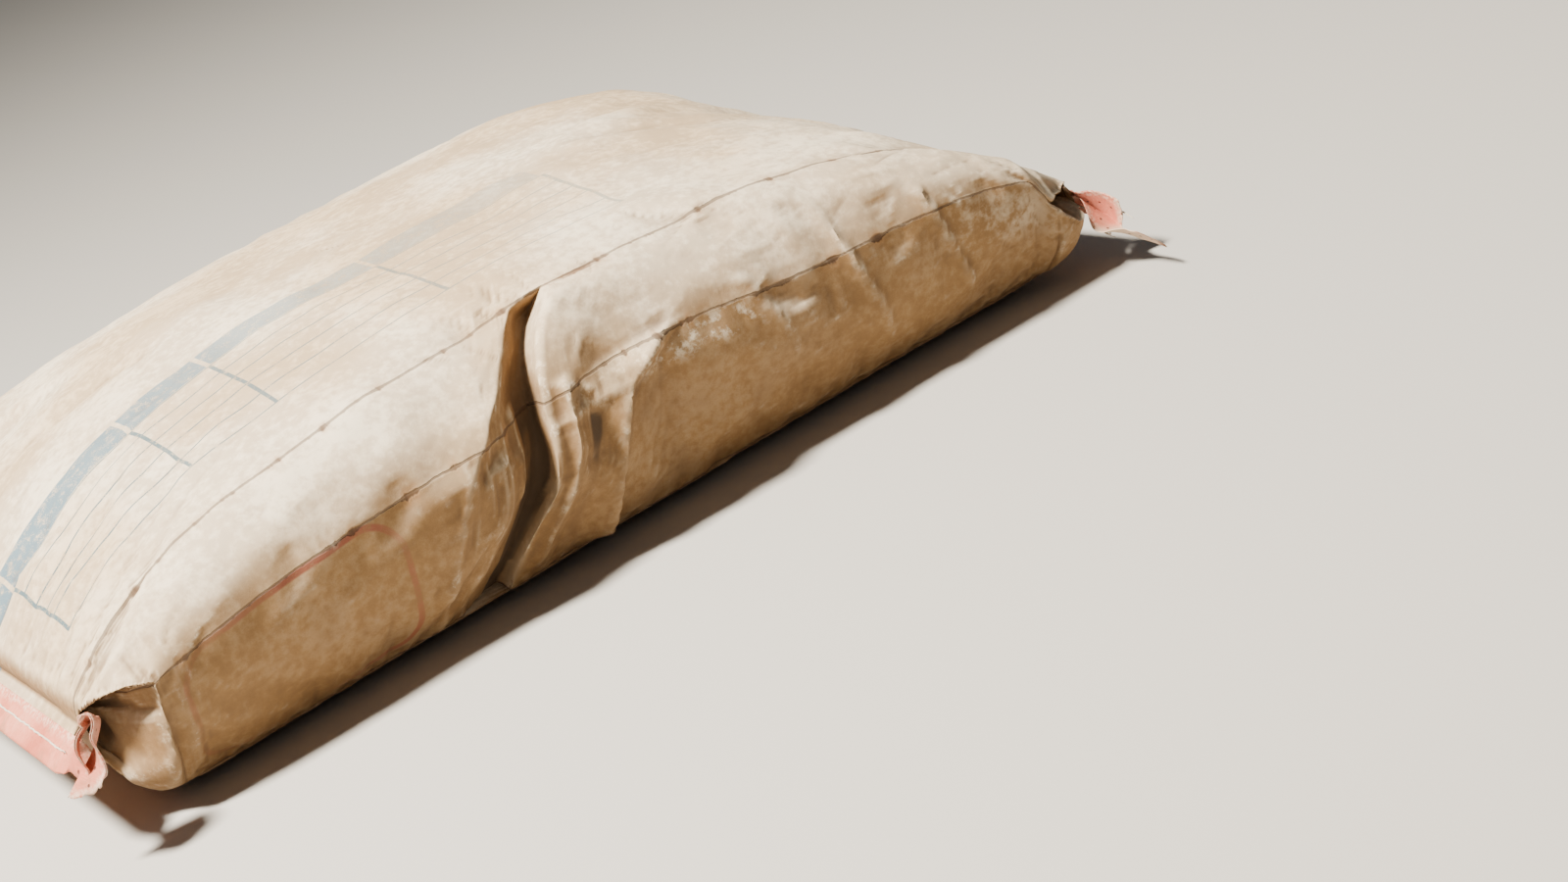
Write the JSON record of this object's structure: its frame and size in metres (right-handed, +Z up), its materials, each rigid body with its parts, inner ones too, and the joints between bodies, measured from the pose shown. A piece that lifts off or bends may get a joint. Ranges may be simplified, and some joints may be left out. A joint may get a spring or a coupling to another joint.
{
  "type": "cement sack",
  "caption": "Gusseted paper sack filled with cement, lying flat, sewn shut across its ends through folded crepe tape with loose tails.",
  "frame": {"origin": "centre of the flat underside that the sack rests on", "axes": "+X along the sack's length towards its head end, +Y across it, +Z up; the gusset with the deep buckle faces -Y"},
  "size_m": [0.7241, 0.5411, 0.1753],
  "materials": {
    "kraft_paper": "matt natural kraft paper, dusted with cement",
    "crepe_tape": "matt salmon-pink crepe paper tape",
    "thread": "off-white spun sewing thread"
  },
  "bodies": {
    "root": {"sack": "kraft_paper", "head_tape": "crepe_tape", "foot_tape": "crepe_tape", "head_needle_thread": "thread", "head_looper_thread": "thread", "foot_needle_thread": "thread", "foot_looper_thread": "thread"}
  },
  "joints": []
}
